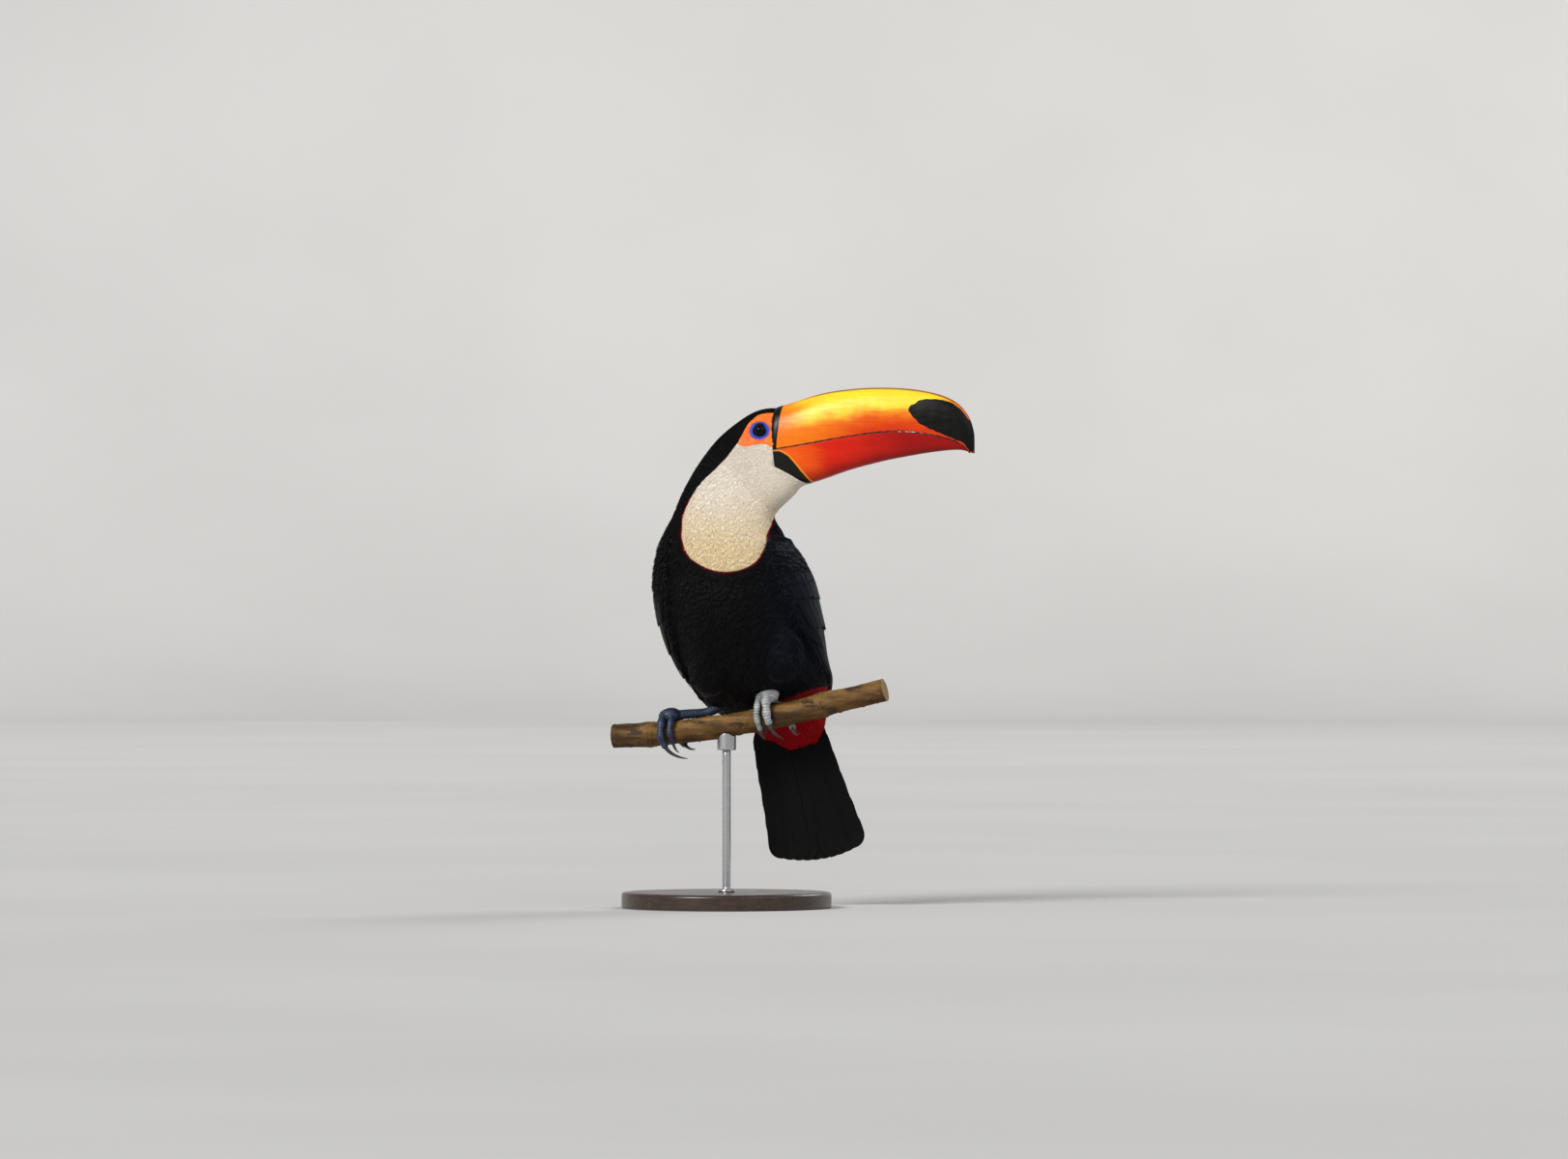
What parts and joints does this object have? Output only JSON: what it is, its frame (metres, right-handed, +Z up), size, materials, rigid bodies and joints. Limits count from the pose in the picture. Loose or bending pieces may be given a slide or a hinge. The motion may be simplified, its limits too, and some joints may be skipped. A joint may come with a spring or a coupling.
{
  "type": "toco toucan",
  "caption": "Toco toucan perched upright on a cut length of branch, its head turned so that the great arched bill points sideways, held by a plain round display stand.",
  "frame": {"origin": "centre of the stand base's underside", "axes": "+Z up, -Y the way the breast faces, +X to the bird's left, the way the bill points"},
  "size_m": [0.3591, 0.2, 0.4934],
  "materials": {
    "plumage_black": "glossy black contour feathers with a faint blue sheen",
    "plumage_white": "soft ivory-white feathers, warmer at the edges",
    "plumage_red": "soft deep red feathers",
    "face_skin": "bare grainy orange skin round the eye, with a cobalt-blue ring",
    "bill_upper": "satin horn, yellow-orange above to orange, with a black spot at the tip and a black line at the base",
    "bill_lower": "satin horn, orange to deep red towards the tip",
    "eye": "wet, glossy near-black eye",
    "foot_scales": "blue-grey scutes over the tops of tarsus and toes",
    "claw_horn": "dark horn",
    "bark": "smooth brown bark with fine cracks and a leaf scar",
    "stand_wood": "dark stained and waxed",
    "stand_steel": "brushed"
  },
  "bodies": {
    "root": {"head": "face_skin", "neck": "plumage_white", "bill_upper": "bill_upper", "bill_lower": "bill_lower", "toe_1_left": "foot_scales", "claw_1_left": "claw_horn", "toe_2_left": "foot_scales", "claw_2_left": "claw_horn", "toe_3_left": "foot_scales", "claw_3_left": "claw_horn", "toe_4_left": "foot_scales", "claw_4_left": "claw_horn", "toe_1_right": "foot_scales", "claw_1_right": "claw_horn", "toe_2_right": "foot_scales", "claw_2_right": "claw_horn", "toe_3_right": "foot_scales", "claw_3_right": "claw_horn", "toe_4_right": "foot_scales", "claw_4_right": "claw_horn", "trunk": "plumage_black", "undertail_coverts": "plumage_red", "uppertail_coverts": "plumage_white", "tail": "plumage_black", "eye_left": "eye", "wing_left": "plumage_black", "thigh_left": "plumage_black", "tarsus_left": "foot_scales", "eye_right": "eye", "wing_right": "plumage_black", "thigh_right": "plumage_black", "tarsus_right": "foot_scales", "perch": "bark", "stand_base": "stand_wood", "stand_rod": "stand_steel", "stand_saddle": "stand_steel"}
  },
  "joints": []
}
